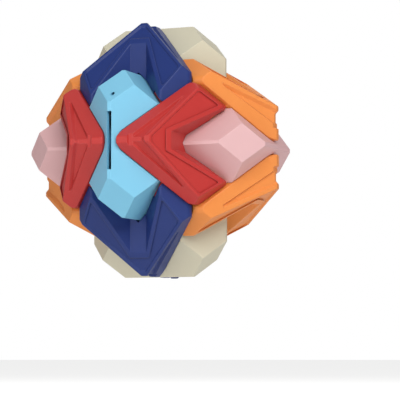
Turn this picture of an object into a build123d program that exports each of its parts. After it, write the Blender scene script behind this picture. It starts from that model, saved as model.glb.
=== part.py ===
"""Take-apart puzzle ball that is also a coin bank.

Eighteen moulded shells lock round a hollow coin space: six bow-tie blocks, one
on each face direction, and twelve chevrons, one across each edge direction.
The front block is the key piece.  It has the coin slot and a small release
hole, and a spring-loaded lever inside it catches the chevron above.

Each shell is made in its own frame and then turned into place:
  block    x across its waist, y along its length, z outwards
  chevron  x towards its crotch, y along its arms' spread, z outwards
All sizes are in millimetres.  The ball's centre is the origin, and +Z is up.
"""
from build123d import *
import os
from math import cos, radians, sin, sqrt

# ---- ball -------------------------------------------------------------------
ridge_height = 70.0        # centre to the flat of every ridge and spine
seam = 0.4                 # gap between neighbouring shells
wall = 2.2                 # side walls of every shell
block_skin = 2.2           # outer faces of a block
chevron_skin = 3.0         # outer faces of a chevron, under its grooves

# ---- bow-tie blocks ---------------------------------------------------------
ridge_half_width = 1.0
ridge_half_length = 20.6   # where the ridge meets the end facets
block_reach = 41.0         # centre to the pointed end of the block's plan
end_flat_half_width = 0.9  # the pointed end is cut square by this much
block_edge_radius = 0.35

# ---- chevrons ---------------------------------------------------------------
spine_half_width = 1.7
spine_end = 22.8           # where the spine meets the sloping panel
panel_steepness = 1.618    # the panel falls this much for each unit outwards
bevel_drop = 0.7           # the arm's end bevel lies this far inside the ridges
crotch_floor = 30.5        # centre to the wall at the bottom of the crotch
crotch_floor_half_width = 4.7
crotch_depth = 9.1         # shell between the crotch's deepest corner and the coin space
apex_radius = 8.7
arm_corner_height = 6.2539  # an arm's inner corner stands this far above the block's end
arm_outer_radius = 4.0     # corners of an arm's end, in plan
arm_inner_radius = 1.4
chevron_edge_radius = 0.8

# ---- V groove and sunk panel on a chevron -----------------------------------
groove_near = 10.2         # the groove's two edges where they cross the spine
groove_far = 20.0
groove_tip_along = 33.4    # the groove's end on an arm
groove_tip_across = 24.6
groove_tip_width = 1.5
groove_depth = 1.5
groove_near_lean = 25.0    # degrees that the groove's two walls lean outwards
groove_far_lean = 50.0
panel_rim = 0.9
panel_lip = 1.9            # wider rim beside the crotch
panel_depth = 0.8

# ---- tongues that pass under the next chevron's arm --------------------------
tongue_thickness = 1.2
tongue_length = 10.0
tongue_root = 2.0
tongue_lift = 1.3          # stands this much proud of the neighbour's arm
tongue_foot = 30.0         # centre to the tongue's lower edge

# ---- key piece --------------------------------------------------------------
coin_slot_length = 31.0
coin_slot_width = 2.5
release_hole_radius = 1.1
release_hole_along = 25.2  # up from the middle of the key piece

# ---- latch inside the key piece ----------------------------------------------
pivot_along = 19.0         # the lever's pivot, up from the middle of the key piece
pivot_radius = 1.0
pivot_play = 0.05          # round the pivot pin, in the lever and in its ears
lever_thickness = 3.0
lever_depth = 3.0
hub_radius = 2.5
lever_rise = 0.7           # the lever and its hub stand this far off the coin space
nose_level = 22.5          # centre of the nose when it is out
nose_height = 4.0
nose_bite = 1.8            # past the pointed end of the key piece, under the chevron
key_notch_top = 28.8       # the notch for the lever in the key piece's end, under the chevron
release_angle = 15.0       # degrees that the release pin turns the lever back
latch_play = 0.5           # room round the nose
ear_thickness = 1.6
ear_half_width = 2.8
pin_head_radius = 1.7
pin_head_thickness = 0.8
spring_wire_radius = 0.25
spring_coil_radius = 1.55
spring_turns = 3
spring_pitch = 0.6
spring_play = 0.2          # at each side of the spring's coil
spring_leg = 4.5

# ---- worked out from the sizes above ------------------------------------------
root2 = sqrt(2)
half_seam = seam / 2
block_roof = ridge_height + ridge_half_width
block_facet = ridge_height + ridge_half_length
chevron_roof = ridge_height + spine_half_width
panel_reach = ridge_height + panel_steepness * spine_end
bevel_reach = ridge_height - bevel_drop
arm_inner_line = crotch_floor - crotch_floor_half_width
# An arm's inner corner is where its end line, its panel and the block's pointed end leave it
# arm_corner_height tall.  The line is the corner's x less its y.
corner_reach = panel_reach - block_reach - arm_corner_height
arm_end_line = (2 * corner_reach + bevel_reach * (1 - panel_steepness)) / (1 + panel_steepness)
coin_space_radius = sqrt(crotch_floor ** 2 + block_reach ** 2) - crotch_depth
lever_radius = coin_space_radius + lever_rise + lever_depth / 2
pivot_level = sqrt((coin_space_radius + lever_rise + hub_radius) ** 2 - pivot_along ** 2)
nose_reach = block_reach + nose_bite
nose_room_start = block_reach - 2 * (wall + lever_depth)
spring_start = lever_thickness / 2 + spring_play + spring_wire_radius
spring_end = spring_start + spring_pitch * spring_turns
ear_inner = spring_end + spring_wire_radius + spring_play
outward_share = 0.3        # a face looks outwards when this much of its normal does
far = 3 * ridge_height     # longer than anything it has to cross


def below(solid, normal, reach, inset=0.0):
    """Keep the side of the plane normal.x = reach that holds the centre."""
    direction = Vector(*normal)
    distance = reach / direction.length - inset
    plane = Plane(origin=direction.normalized() * distance, z_dir=direction)
    return split(solid, bisect_by=plane, keep=Keep.BOTTOM)


def end_prism(grow):
    """Square bar along z with its corners on x and y, as a block's end fills."""
    side = (block_reach + grow * root2) * root2
    return Box(side, side, far).rotate(Axis.Z, 45)


# ---- block ---------------------------------------------------------------------
def apex_notch():
    """Plan of the rounded V that a chevron's apex fills in a block's waist."""
    start = -half_seam * root2
    corners = [(start, 0), (start + far, far), (start + far, -far)]
    notch = Polygon(*corners, align=None)
    tip = notch.vertices().sort_by(Axis.X)[0]
    return fillet(tip, apex_radius + half_seam)


def block_plan():
    reach = block_reach - half_seam * root2
    end = reach - end_flat_half_width
    outline = Rectangle(reach * root2, reach * root2).rotate(Axis.Z, 45)
    outline &= Rectangle(far, 2 * end)
    notch = apex_notch()
    return outline - notch - mirror(notch, Plane.YZ)


def block_body(inset_walls, inset_skin):
    plan = block_plan()
    if inset_walls:
        plan = offset(plan, -inset_walls, kind=Kind.INTERSECTION)
    body = extrude(plan, ridge_height - inset_skin)
    for sign in (1, -1):
        body = below(body, (sign, 0, 1), block_roof, inset_skin)
        body = below(body, (0, sign, 1), block_facet, inset_skin)
    return body


def make_block():
    skin = soften(block_body(0, 0), block_edge_radius)
    return skin - block_body(wall, block_skin) - Sphere(coin_space_radius)


# ---- chevron -------------------------------------------------------------------
def arm_corners():
    """Plan corners of one arm: outer end, inner end, then the crotch."""
    apex = half_seam * root2
    outer_end = ((bevel_reach + apex) / 2, (bevel_reach - apex) / 2)
    inner_end = ((bevel_reach + arm_end_line) / 2, (bevel_reach - arm_end_line) / 2)
    crotch = (crotch_floor, crotch_floor_half_width)
    return outer_end, inner_end, crotch


def mirrored_outline(upper, *tip):
    """Closed plan from its upper half, with the lower half mirrored across x."""
    lower = [(x, -y) for x, y in reversed(upper)]
    return Polygon(*upper, *lower, *tip, align=None)


def first_corner(outline):
    return outline.vertices().sort_by(Axis.X)[0]


def chevron_plan():
    """Boomerang outline: apex at the waist of one block, crotch round another."""
    outline = mirrored_outline(arm_corners(), (half_seam * root2, 0))
    outline = fillet(first_corner(outline), apex_radius - half_seam)
    outline = fillet(outline.vertices().group_by(Axis.X)[-2], arm_outer_radius)
    return fillet(outline.vertices().group_by(Axis.X)[-1], arm_inner_radius)


def chevron_body(inset_walls, inset_skin):
    plan = chevron_plan()
    if inset_walls:
        plan = offset(plan, -inset_walls, kind=Kind.INTERSECTION)
    body = extrude(plan, ridge_height - inset_skin, dir=(0, 0, 1))
    for sign in (1, -1):
        body = below(body, (0, sign, -1), -half_seam * root2, inset_walls)
        body = below(body, (0, sign, 1), chevron_roof, inset_skin)
    body = below(body, (panel_steepness, 0, 1), panel_reach, inset_skin)
    return body - end_prism(half_seam + inset_walls).rotate(Axis.Y, 90)


def groove_room(up, edges):
    """Space in and above a groove sunk in a face that looks up.

    Each edge is a point on that face, the direction from it into the groove and
    how far the wall under it leans.
    """
    floor_point = edges[0][0] - up * groove_depth
    room = split(Box(far, far, far), bisect_by=Plane(floor_point, z_dir=-up), keep=Keep.BOTTOM)
    for point, inward, lean in edges:
        away = -(inward * cos(radians(lean)) + up * sin(radians(lean)))
        room = split(room, bisect_by=Plane(point, z_dir=away), keep=Keep.BOTTOM)
    return room


def groove_cutter():
    """Bent groove across the spine and along both arms, narrowing to its tips."""
    roof_up = Vector(0, 1, 1).normalized()
    spine_up = Vector(0, 0, 1)
    half_tip = groove_tip_width / 2
    tip_height = chevron_roof - groove_tip_across
    tip = Vector(groove_tip_along, groove_tip_across, tip_height)
    arm_edges = [(tip, Vector(0, -1, 1).normalized(), groove_far_lean)]
    spine_edges = []
    for start, side, lean in ((groove_near, -1, groove_near_lean), (groove_far, 1, groove_far_lean)):
        on_spine = Vector(start, 0, chevron_roof)
        along = tip + Vector(side * half_tip, 0, 0) - on_spine
        arm_edges.append((on_spine, along.cross(roof_up).normalized() * -side, lean))
        spine_edges.append((Vector(start, 0, ridge_height), Vector(-side, 0, 0), lean))
    arm = groove_room(roof_up, arm_edges)
    return arm + mirror(arm, Plane.XZ) + groove_room(spine_up, spine_edges)


def panel_cutter():
    """Shallow recess in the sloping panel, inside its rim."""
    across = (panel_steepness * bevel_reach + chevron_roof - panel_reach) / (1 + panel_steepness)
    bevel_corner = (bevel_reach - across, across)
    spine_corner = (spine_end, spine_half_width)
    _, inner_end, crotch = arm_corners()
    panel = mirrored_outline([spine_corner, bevel_corner, inner_end, crotch])
    panel = offset(panel, -panel_rim, kind=Kind.INTERSECTION)
    run, rise = inner_end[0] - crotch[0], inner_end[1] - crotch[1]
    beyond_end = (crotch[0] + far, crotch[1] + far * rise / run)
    lip = mirrored_outline([beyond_end, crotch])
    panel -= offset(lip, panel_lip, kind=Kind.INTERSECTION)
    panel = fillet(panel.vertices(), panel_rim)
    floor = Box(far, far, far)
    floor = below(floor, (panel_steepness, 0, 1), panel_reach, panel_depth)
    return extrude(panel, far, dir=(0, 0, 1)) - floor


def tongue_bar(grow, height):
    """Bar that lies along a block's end wall, past a chevron's outer wall.

    Made along z from its foot, in a frame whose x and y meet at the outer wall.
    """
    inner_face = block_reach / root2 + half_seam
    root = tongue_root if not grow else wall
    plan = Rectangle(tongue_thickness + 2 * grow, tongue_length + root + grow)
    middle = (tongue_length + grow - root) / 2
    plan = plan.moved(Location((inner_face + tongue_thickness / 2, middle, 0)))
    bar = extrude(plan, height, dir=(0, 0, 1)).rotate(Axis.Z, 45)
    return bar.moved(Location((0, 0, tongue_foot - grow)))


def add_tongues(shell):
    bar = tongue_bar(0, far)
    top = arm_inner_line + tongue_lift
    bar = below(bar, (-1, 0, 1), top)
    bar = below(bar, (1, 0, 1), bevel_reach)
    bar -= Sphere(coin_space_radius)
    return shell + bar + mirror(bar, Plane.XZ)


def tongue_slots(grow):
    """Room for the next chevron's tongues, open outwards beside the crotch."""
    upright = Plane(origin=(0, 0, 0), x_dir=(0, 1, 0), z_dir=(1, 0, 0))
    slot = upright.location * tongue_bar(grow, far)
    return slot + mirror(slot, Plane.XZ)


def make_chevron():
    skin = soften(chevron_body(0, 0), chevron_edge_radius)
    skin = skin - groove_cutter() - panel_cutter()
    core = chevron_body(wall, chevron_skin) - tongue_slots(seam + wall)
    shell = skin - core - tongue_slots(seam) - Sphere(coin_space_radius)
    return add_tongues(shell)


# ---- key piece and its latch ----------------------------------------------------
def bar(low, high):
    """Box between two opposite corners."""
    size = [b - a for a, b in zip(low, high)]
    middle = [(a + b) / 2 for a, b in zip(low, high)]
    return Box(*size).moved(Location(middle))


def across_key(plan, start, end):
    """Thicken a plan drawn along and out of the key piece, across its waist."""
    side = Plane(origin=(start, 0, 0), x_dir=(0, 1, 0), z_dir=(1, 0, 0))
    return extrude(side * plan, end - start, dir=(1, 0, 0))


def at_pivot(plan):
    return plan.moved(Location((pivot_along, pivot_level, 0)))


def nose_room(lowest, highest):
    """Space for the lever's nose, from inside the key piece into the chevron above."""
    half = lever_thickness / 2 + latch_play
    return bar((-half, nose_room_start, lowest), (half, nose_reach + latch_play, highest))


def make_key_block():
    low_edge = pivot_level - hub_radius
    plan = bar_plan(pivot_along - ear_half_width, low_edge,
                    pivot_along + ear_half_width, ridge_height)
    plan -= at_pivot(Circle(pivot_radius + pivot_play))
    ears = across_key(plan, ear_inner, ear_inner + ear_thickness)
    ears += across_key(plan, -ear_inner - ear_thickness, -ear_inner)
    ears &= block_body(wall / 2, block_skin / 2)
    slot = Box(coin_slot_width, coin_slot_length, far)
    hole = Cylinder(release_hole_radius, far).moved(Location((0, release_hole_along, far / 2)))
    return make_block() + ears - slot - hole - nose_room(0, key_notch_top)


def bar_plan(left, bottom, right, top):
    plan = Rectangle(right - left, top - bottom)
    return plan.moved(Location(((left + right) / 2, (bottom + top) / 2, 0)))


def make_latch_lever():
    """Curved lever with a nose, drawn with its nose out and then turned back."""
    ring = Circle(lever_radius + lever_depth / 2) - Circle(lever_radius - lever_depth / 2)
    nose_low = nose_level - nose_height / 2
    nose_high = nose_level + nose_height / 2
    sector = Polygon((0, 0), (2 * pivot_along, 2 * pivot_level), (far, far), (far, nose_low),
                     (0, nose_low), align=None)
    nose_root = sqrt(lever_radius ** 2 - nose_level ** 2)
    nose = bar_plan(nose_root - lever_depth / 2, nose_low, nose_reach, nose_high)
    arm = across_key((ring & sector) + nose, -lever_thickness / 2, lever_thickness / 2)
    hub = across_key(at_pivot(Circle(hub_radius)), spring_play - ear_inner, lever_thickness / 2)
    bore = across_key(at_pivot(Circle(pivot_radius + pivot_play)), -ear_inner, ear_inner)
    lever = arm + hub - bore
    pivot = Axis((0, pivot_along, pivot_level), (1, 0, 0))
    return lever.rotate(pivot, -release_angle)


def make_latch_pin():
    half = ear_inner + ear_thickness + pivot_play
    shank = across_key(at_pivot(Circle(pivot_radius)), -half, half + pin_head_thickness)
    head = across_key(at_pivot(Circle(pin_head_radius)), -half - pin_head_thickness, -half)
    return shank + head


def make_latch_spring():
    """Torsion spring round the pivot pin, with a leg up to the key piece's roof."""
    coil = Helix(spring_pitch, spring_pitch * spring_turns, spring_coil_radius)
    wire = Circle(spring_wire_radius)
    spring = sweep(Plane(origin=coil @ 0, z_dir=coil % 0) * wire, path=coil)
    for end, sign in ((0, -1), (1, 1)):
        face = Plane(origin=coil @ end, z_dir=(coil % end) * sign)
        spring += extrude(face * wire, spring_leg)
    upright = Plane(origin=(spring_start, pivot_along, pivot_level), x_dir=(0, 1, 0), z_dir=(1, 0, 0))
    return upright.location * spring


# ---- the assembled ball -----------------------------------------------------------
def top_edges(solid):
    """Edges of the faces that look outwards."""
    found = []
    for face in solid.faces():
        if face.geom_type == GeomType.PLANE and face.normal_at().Z > outward_share:
            found += [edge for edge in face.edges() if not any(map(edge.is_same, found))]
    return found


def soften(solid, radius):
    return fillet(top_edges(solid), radius)


axis_vectors = {"x": Vector(1, 0, 0), "y": Vector(0, 1, 0), "z": Vector(0, 0, 1)}
side_names = {("x", 1): "right", ("x", -1): "left", ("y", 1): "back", ("y", -1): "front",
              ("z", 1): "top", ("z", -1): "bottom"}
# For each outward axis: the axis across a block's waist, and the two colours.
layout = {"y": ("x", "sky", "red"), "z": ("y", "cream", "navy"), "x": ("z", "pink", "orange")}


def placed(shape, outward, across):
    frame = Plane(origin=(0, 0, 0), x_dir=across, z_dir=outward)
    return frame.location * shape


def build_ball():
    """Every piece by its node name."""
    block, chevron = make_block(), make_chevron()
    key_across = axis_vectors["x"]
    key_outward = axis_vectors["y"] * -1
    nodes = {}
    for axis, (across_axis, block_colour, chevron_colour) in layout.items():
        for sign in (1, -1):
            outward = axis_vectors[axis] * sign
            across = axis_vectors[across_axis]
            side = side_names[axis, sign]
            nodes[f"{block_colour}_block_{side}"] = placed(block, outward, across)
            for across_sign in (1, -1):
                name = f"{chevron_colour}_chevron_{side}_{side_names[across_axis, across_sign]}"
                nodes[name] = placed(chevron, outward, across * across_sign)
    del nodes["sky_block_front"]
    drop = (nose_reach - pivot_along) * sin(radians(release_angle))
    nose_low, nose_high = nose_level - nose_height / 2, nose_level + nose_height / 2
    pocket = nose_room(nose_low - drop, nose_high + latch_play)
    nodes["navy_chevron_top_front"] -= placed(pocket, key_outward, key_across)
    key_pieces = {"key_block_front": make_key_block(), "latch_lever": make_latch_lever(),
                  "latch_pivot_pin": make_latch_pin(), "latch_spring": make_latch_spring()}
    for name, shape in key_pieces.items():
        nodes[name] = placed(shape, key_outward, key_across)
    return nodes


if __name__ == "__main__":
    os.makedirs("parts", exist_ok=True)
    for node_name, shape in build_ball().items():
        export_step(shape, f"parts/{node_name}.step")
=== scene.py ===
"""Finishes and studio for the take-apart puzzle ball and coin bank.

The ball's eighteen shells and its latch come from the frame.  This file gives
each group of pieces its finish and sets the ball in a plain studio.  Lengths
are in metres.
"""
import math

import bpy
from bpy.props import FloatProperty, FloatVectorProperty, PointerProperty
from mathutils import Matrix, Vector


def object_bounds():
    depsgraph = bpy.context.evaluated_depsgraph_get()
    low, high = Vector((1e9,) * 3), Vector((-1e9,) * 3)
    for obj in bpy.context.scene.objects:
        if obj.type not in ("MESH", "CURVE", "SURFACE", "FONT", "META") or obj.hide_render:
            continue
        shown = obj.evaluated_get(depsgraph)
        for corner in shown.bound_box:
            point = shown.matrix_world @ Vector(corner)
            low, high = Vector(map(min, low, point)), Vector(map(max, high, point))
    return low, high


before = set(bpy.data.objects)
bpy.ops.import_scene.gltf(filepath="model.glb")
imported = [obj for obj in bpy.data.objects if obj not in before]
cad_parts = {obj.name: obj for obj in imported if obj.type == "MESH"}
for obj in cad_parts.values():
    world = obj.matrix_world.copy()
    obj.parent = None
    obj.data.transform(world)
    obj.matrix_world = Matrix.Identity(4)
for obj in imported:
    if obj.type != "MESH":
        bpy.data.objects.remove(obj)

bl_info = {
    "name": "Puzzle Ball Finishes",
    "version": (1, 0, 0),
    "blender": (4, 5, 0),
    "location": "View3D > Sidebar > Puzzle Ball",
    "description": "Moulded plastic finishes and a plain studio for a puzzle ball",
    "category": "Object",
}

CAD_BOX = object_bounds()
BALL_LOW, BALL_HIGH = (Vector(corner) for corner in CAD_BOX)
BALL_CENTRE = (BALL_LOW + BALL_HIGH) / 2
MM = 0.001

PLASTIC_IOR = 1.53
SPECULAR_LEVEL = 0.32      # the moulds leave a soft sheen, not a gloss
EDGE_HIGHLIGHT_FACING = 0.80       # cosine of the turn at which an edge's painted highlight is full
EDGE_HIGHLIGHT_LIFT = 0.25         # added to each channel of the colour there, as a painted highlight
SMUDGE_SHARE = 1 / 3       # of the flow marks' size
SMUDGE_CHANGE = 0.05       # in roughness, both ways
NOISE_LOW, NOISE_HIGH = 0.3, 0.7    # the part of a noise's range that shows
STEEL_PATCH = 1.5 * MM
STEEL_CHANGE = 0.1         # in shade, both ways
STEEL_MARK = 0.12 * MM
STEEL_MARK_DEPTH = 0.004 * MM
STEEL_ROUGHNESS = (0.25, 0.40)
FLOOR_SHADES = ((0.90, 0.90, 0.89, 1.0), (0.94, 0.94, 0.93, 1.0))
FLOOR_PATCH = 0.4
FLOOR_ROUGHNESS = 0.9
# Each soft light: degrees round the ball from the front and above its middle,
# metres from its centre, and the light's width.
LIGHTS = {"key": (36, 31, 1.1, 0.7), "fill": (-20, 2, 1.2, 0.8), "back": (200, 48, 1.2, 1.0)}
FLOOR_GLOW = 0.62      # how brightly the light table under the ball shows
FLOOR_BOUNCE = 0.20    # how brightly it lights the ball


# ---- settings ---------------------------------------------------------------
def colour_setting(name, description, default):
    return FloatVectorProperty(name=name, description=description, subtype="COLOR",
                               size=3, min=0.0, max=1.0, default=default)


def length_setting(name, description, default):
    return FloatProperty(name=name, description=description, default=default,
                         subtype="DISTANCE", unit="LENGTH")


class PlasticColours(bpy.types.PropertyGroup):
    """Colours of the moulded shells."""
    sky: colour_setting("Sky", "Front key block and back block", (0.200, 0.530, 0.730))
    pink: colour_setting("Pink", "Side blocks", (0.690, 0.425, 0.430))
    cream: colour_setting("Cream", "Top and bottom blocks", (0.610, 0.570, 0.430))
    red: colour_setting("Red", "Chevrons at the front and back", (0.490, 0.032, 0.028))
    navy: colour_setting("Navy", "Chevrons at the top and bottom", (0.013, 0.032, 0.165))
    orange: colour_setting("Orange", "Chevrons at the sides", (0.780, 0.255, 0.055))
    # the lever is coloured near-black as painted shade, so the release hole it shows through reads
    # dark
    latch: colour_setting("Latch", "Lever inside the key block", (0.030, 0.030, 0.032))
    steel: colour_setting("Steel", "Pivot pin and spring", (0.560, 0.560, 0.550))


class PlasticFinish(bpy.types.PropertyGroup):
    """Surface of the moulded plastic."""
    roughness: FloatProperty(name="Roughness", description="Satin of the moulded faces",
                             default=0.46, min=0.0, max=1.0, subtype="FACTOR")
    grain_size: length_setting("Grain size", "Width of one grain of the mould's texture", 0.45 * MM)
    grain_height: length_setting("Grain height", "Height of the mould's texture", 0.010 * MM)
    flow_size: length_setting("Flow size", "Width of a soft change of shade", 24 * MM)
    flow_change: FloatProperty(name="Flow change", description="How much the shade changes",
                               default=0.035, min=0.0, max=1.0, subtype="FACTOR")
    # the edge radius rounds the shading normals at the edges and sets the width of the painted edge
    # highlight; edge shine sets how strong that painted highlight is
    edge_radius: length_setting("Edge radius", "Rounding that handling gives an edge", 0.45 * MM)
    edge_highlight: FloatProperty(name="Edge shine", description="How much rubbed edges lighten",
                              default=0.18, min=0.0, max=1.0, subtype="FACTOR")


class StudioSettings(bpy.types.PropertyGroup):
    """Camera, lights and floor."""
    camera_distance: length_setting("Camera distance", "From the ball's centre", 1.079)
    camera_azimuth: FloatProperty(name="Azimuth", description="Round the ball from the front",
                                  default=math.radians(22.58), subtype="ANGLE")
    camera_elevation: FloatProperty(name="Elevation", description="Above the ball's middle",
                                    default=math.radians(-5.83), subtype="ANGLE")
    lens: FloatProperty(name="Lens", description="Focal length in millimetres", default=173.0)
    shift_x: FloatProperty(name="Shift across", description="Lens shift to the right", default=0.1006)
    shift_y: FloatProperty(name="Shift up", description="Lens shift upwards", default=-0.1189)
    floor_drop: length_setting("Floor drop", "From the ball's centre down to the floor", 0.150)
    floor_radius: length_setting("Floor radius", "Round studio floor", 6.0)
    key_power: FloatProperty(name="Key power", description="Main soft light, in watts",
                             default=8.6, unit="POWER")
    fill_power: FloatProperty(name="Fill power", description="Low soft light, in watts",
                              default=3.0, unit="POWER")
    back_power: FloatProperty(name="Back power", description="Soft light behind, in watts",
                              default=3.0, unit="POWER")
    sky_strength: FloatProperty(name="Sky strength", description="Even white light all round",
                                default=0.26, min=0.0)


def settings(name):
    return getattr(bpy.context.scene, "puzzle_ball_" + name)


# ---- materials --------------------------------------------------------------
class NodeBench:
    """A material's node tree, with short calls to add and join its nodes."""

    def __init__(self, name):
        self.material = bpy.data.materials.new(name)
        self.material.use_nodes = True
        self.tree = self.material.node_tree
        self.shader = self.tree.nodes["Principled BSDF"]
        coordinates = self.tree.nodes.new("ShaderNodeTexCoord")
        self.place = coordinates.outputs["Object"]

    def add(self, kind, **inputs):
        node = self.tree.nodes.new("ShaderNode" + kind)
        for key, value in inputs.items():
            self.feed(node.inputs[key.replace("_", " ")], value)
        return node

    def feed(self, socket, value):
        if isinstance(value, bpy.types.NodeSocket):
            self.tree.links.new(value, socket)
        else:
            socket.default_value = value

    def noise(self, size, detail=2.0, roughness=0.5):
        node = self.add("TexNoise", Vector=self.place, Scale=1 / size, Detail=detail,
                        Roughness=roughness)
        return node.outputs["Fac"]

    def remap(self, value, low, high, new_low, new_high):
        node = self.add("MapRange", Value=value, From_Min=low, From_Max=high, To_Min=new_low,
                        To_Max=new_high)
        return node.outputs["Result"]

    def mix(self, factor, first, second):
        """Blend of two colours, picked from the node's sockets of the colour kind."""
        node = self.tree.nodes.new("ShaderNodeMix")
        node.data_type = "RGBA"
        self.feed(node.inputs["Factor"], factor)
        start, end = [socket for socket in node.inputs if socket.type == "RGBA"]
        self.feed(start, first)
        self.feed(end, second)
        return next(out for out in node.outputs if out.type == "RGBA")


def shaded(colour, factor):
    return (*(min(1.0, channel * factor) for channel in colour), 1.0)


def moulded_plastic(name, colour):
    """Satin moulded plastic: flow marks, a fine mould grain and a painted highlight along the edges.
    """
    finish = settings("finish")
    bench = NodeBench(name)
    bump = bench.add("Bump", Height=bench.noise(finish.grain_size, 2.0), Strength=1.0,
                     Distance=finish.grain_height)
    rounded = bench.add("Bevel", Radius=finish.edge_radius)
    bench.feed(bump.inputs["Normal"], rounded.outputs["Normal"])
    true_normal = bench.add("NewGeometry").outputs["Normal"]
    facing = bench.tree.nodes.new("ShaderNodeVectorMath")
    facing.operation = "DOT_PRODUCT"
    bench.feed(facing.inputs[0], rounded.outputs["Normal"])
    bench.feed(facing.inputs[1], true_normal)
    # painted highlight: where the rounded normal turns away from the true one, the edge's base colour
    # is lightened
    highlight_mask = bench.remap(facing.outputs["Value"], 1.0, EDGE_HIGHLIGHT_FACING, 0.0, 1.0)
    flow = bench.noise(finish.flow_size, 3.0)
    body = bench.mix(flow, shaded(colour, 1 - finish.flow_change),
                     shaded(colour, 1 + finish.flow_change))
    highlighted = bench.tree.nodes.new("ShaderNodeMath")
    highlighted.operation = "MULTIPLY"
    bench.feed(highlighted.inputs[0], highlight_mask)
    bench.feed(highlighted.inputs[1], finish.edge_highlight)
    # colour of the painted edge highlight
    highlight_colour = shaded([channel + EDGE_HIGHLIGHT_LIFT for channel in colour], 1.0)
    edge = bench.mix(highlighted.outputs["Value"], body, highlight_colour)
    smudge = bench.noise(finish.flow_size * SMUDGE_SHARE, 4.0, 0.6)
    bench.feed(bench.shader.inputs["Base Color"], edge)
    bench.feed(bench.shader.inputs["Roughness"],
               bench.remap(smudge, NOISE_LOW, NOISE_HIGH, finish.roughness - SMUDGE_CHANGE,
                           finish.roughness + SMUDGE_CHANGE))
    bench.feed(bench.shader.inputs["Normal"], bump.outputs["Normal"])
    bench.shader.inputs["IOR"].default_value = PLASTIC_IOR
    bench.shader.inputs["Specular IOR Level"].default_value = SPECULAR_LEVEL
    return bench.material


def drawn_steel(name, colour):
    """Drawn steel wire and pin stock, with fine marks along it."""
    bench = NodeBench(name)
    marks = bench.noise(STEEL_MARK, 3.0)
    bump = bench.add("Bump", Height=marks, Strength=1.0, Distance=STEEL_MARK_DEPTH)
    bench.feed(bench.shader.inputs["Base Color"],
               bench.mix(bench.noise(STEEL_PATCH), shaded(colour, 1 - STEEL_CHANGE),
                         shaded(colour, 1 + STEEL_CHANGE)))
    bench.feed(bench.shader.inputs["Roughness"],
               bench.remap(marks, NOISE_LOW, NOISE_HIGH, *STEEL_ROUGHNESS))
    bench.feed(bench.shader.inputs["Normal"], bump.outputs["Normal"])
    bench.shader.inputs["Metallic"].default_value = 1.0
    return bench.material


def dress(node_name, material):
    """Give one CAD node its finish."""
    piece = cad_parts[node_name]
    piece.data.materials.clear()
    piece.data.materials.append(material)


def dress_group(words, material):
    """Dress every node whose name starts with one of these words."""
    names = [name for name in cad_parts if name.startswith(tuple(words))]
    if not names:
        raise RuntimeError(f"no pieces are named {words}")
    for name in names:
        dress(name, material)


# ---- pieces -----------------------------------------------------------------
class PUZZLEBALL_OT_sky_blocks(bpy.types.Operator):
    """Finish the front key block and the back block"""
    bl_idname = "puzzle_ball.sky_blocks"
    bl_label = "Sky blocks"

    def execute(self, context):
        material = moulded_plastic("sky_plastic", settings("colours").sky)
        dress_group(["key_block", "sky_block"], material)
        return {"FINISHED"}


class PUZZLEBALL_OT_pink_blocks(bpy.types.Operator):
    """Finish the two pink blocks at the sides"""
    bl_idname = "puzzle_ball.pink_blocks"
    bl_label = "Pink blocks"

    def execute(self, context):
        dress_group(["pink_block"], moulded_plastic("pink_plastic", settings("colours").pink))
        return {"FINISHED"}


class PUZZLEBALL_OT_cream_blocks(bpy.types.Operator):
    """Finish the top and bottom blocks"""
    bl_idname = "puzzle_ball.cream_blocks"
    bl_label = "Cream blocks"

    def execute(self, context):
        dress_group(["cream_block"], moulded_plastic("cream_plastic", settings("colours").cream))
        return {"FINISHED"}


class PUZZLEBALL_OT_chevrons(bpy.types.Operator):
    """Finish the twelve chevrons, four in each colour"""
    bl_idname = "puzzle_ball.chevrons"
    bl_label = "Chevrons"

    def execute(self, context):
        for word in ("red", "navy", "orange"):
            colour = getattr(settings("colours"), word)
            dress_group([word + "_chevron"], moulded_plastic(word + "_plastic", colour))
        return {"FINISHED"}


class PUZZLEBALL_OT_latch(bpy.types.Operator):
    """Finish the latch lever, its pin and its spring"""
    bl_idname = "puzzle_ball.latch"
    bl_label = "Latch"

    def execute(self, context):
        # the near-black lever is painted shade for the dark inside of the release hole
        dress("latch_lever", moulded_plastic("latch_plastic", settings("colours").latch))
        steel = drawn_steel("latch_steel", settings("colours").steel)
        dress_group(["latch_pivot_pin", "latch_spring"], steel)
        return {"FINISHED"}


# ---- studio -----------------------------------------------------------------
def direction(azimuth, elevation):
    """Unit vector from the ball towards a place round it."""
    flat = math.cos(elevation)
    return Vector((math.sin(azimuth) * flat, -math.cos(azimuth) * flat, math.sin(elevation)))


def aim(thing, place):
    thing.location = place
    thing.rotation_euler = (BALL_CENTRE - place).to_track_quat("-Z", "Y").to_euler()


def soft_light(name, azimuth, elevation, distance, size, power):
    data = bpy.data.lights.new(name, "AREA")
    data.shape = "DISK"
    data.size = size
    data.energy = power
    light = bpy.data.objects.new(name, data)
    bpy.context.scene.collection.objects.link(light)
    place = BALL_CENTRE + direction(math.radians(azimuth), math.radians(elevation)) * distance
    aim(light, place)


def studio_floor(drop, radius):
    bpy.ops.mesh.primitive_circle_add(vertices=128, radius=radius, fill_type="NGON",
                                      location=(0, 0, BALL_CENTRE.z - drop))
    floor = bpy.context.object
    floor.name = "studio_floor"
    bench = NodeBench("studio_paper")
    bench.feed(bench.shader.inputs["Base Color"],
               bench.mix(bench.noise(FLOOR_PATCH, 3.0), *FLOOR_SHADES))
    bench.shader.inputs["Roughness"].default_value = FLOOR_ROUGHNESS
    bench.shader.inputs["Emission Color"].default_value = (1, 1, 1, 1)
    seen = bench.add("LightPath").outputs["Is Camera Ray"]
    glow = bench.remap(seen, 0.0, 1.0, FLOOR_BOUNCE, FLOOR_GLOW)
    bench.feed(bench.shader.inputs["Emission Strength"], glow)
    floor.data.materials.append(bench.material)


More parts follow.
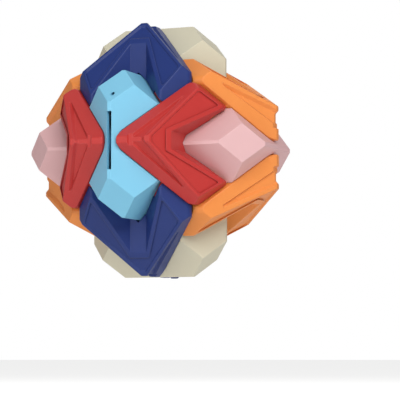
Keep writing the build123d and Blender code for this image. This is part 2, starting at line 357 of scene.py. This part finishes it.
def white_surround(strength):
    """World that lights the ball softly and shows as plain white behind it."""
    world = bpy.data.worlds.new("white_surround")
    world.use_nodes = True
    tree = world.node_tree
    seen = tree.nodes.new("ShaderNodeLightPath").outputs["Is Camera Ray"]
    level = tree.nodes.new("ShaderNodeMapRange")
    level.inputs["To Min"].default_value = strength
    level.inputs["To Max"].default_value = 1.0
    tree.links.new(seen, level.inputs["Value"])
    background = tree.nodes["Background"]
    background.inputs["Color"].default_value = (1, 1, 1, 1)
    tree.links.new(level.outputs["Result"], background.inputs["Strength"])
    return world


class PUZZLEBALL_OT_stage(bpy.types.Operator):
    """Build the floor, the lights and the camera"""
    bl_idname = "puzzle_ball.stage"
    bl_label = "Studio"

    def execute(self, context):
        studio = settings("studio")
        studio_floor(studio.floor_drop, studio.floor_radius)
        for name, (azimuth, elevation, distance, width) in LIGHTS.items():
            power = getattr(studio, name + "_power")
            soft_light(name + "_light", azimuth, elevation, distance, width, power)
        context.scene.world = white_surround(studio.sky_strength)
        context.scene.view_settings.view_transform = "Standard"
        data = bpy.data.cameras.new("photo_camera")
        data.lens = studio.lens
        data.shift_x = studio.shift_x
        data.shift_y = studio.shift_y
        camera = bpy.data.objects.new("photo_camera", data)
        context.scene.collection.objects.link(camera)
        back = direction(studio.camera_azimuth, studio.camera_elevation)
        aim(camera, BALL_CENTRE + back * studio.camera_distance)
        context.scene.camera = camera
        return {"FINISHED"}


# ---- sidebar ----------------------------------------------------------------
class PUZZLEBALL_PT_panel(bpy.types.Panel):
    """Lists the steps that finish the ball"""
    bl_label = "Puzzle Ball"
    bl_space_type = "VIEW_3D"
    bl_region_type = "UI"
    bl_category = "Puzzle Ball"

    def draw(self, context):
        for group, names in SETTING_NAMES.items():
            box = self.layout.box()
            for name in names:
                box.prop(settings(group), name)
        for step in STEPS:
            self.layout.operator(step.bl_idname)


STEPS = (PUZZLEBALL_OT_sky_blocks, PUZZLEBALL_OT_pink_blocks, PUZZLEBALL_OT_cream_blocks,
         PUZZLEBALL_OT_chevrons, PUZZLEBALL_OT_latch, PUZZLEBALL_OT_stage)
SETTING_GROUPS = {"colours": PlasticColours, "finish": PlasticFinish, "studio": StudioSettings}
SETTING_NAMES = {name: list(group.__annotations__) for name, group in SETTING_GROUPS.items()}
CLASSES = (*SETTING_GROUPS.values(), *STEPS, PUZZLEBALL_PT_panel)


def register():
    for cls in CLASSES:
        bpy.utils.register_class(cls)
    for name, group in SETTING_GROUPS.items():
        setattr(bpy.types.Scene, "puzzle_ball_" + name, PointerProperty(type=group))


def unregister():
    for name in SETTING_GROUPS:
        delattr(bpy.types.Scene, "puzzle_ball_" + name)
    for cls in reversed(CLASSES):
        bpy.utils.unregister_class(cls)


def main():
    register()
    for step in STEPS:
        group, name = step.bl_idname.split(".")
        getattr(getattr(bpy.ops, group), name)()


if __name__ == "__main__":
    main()
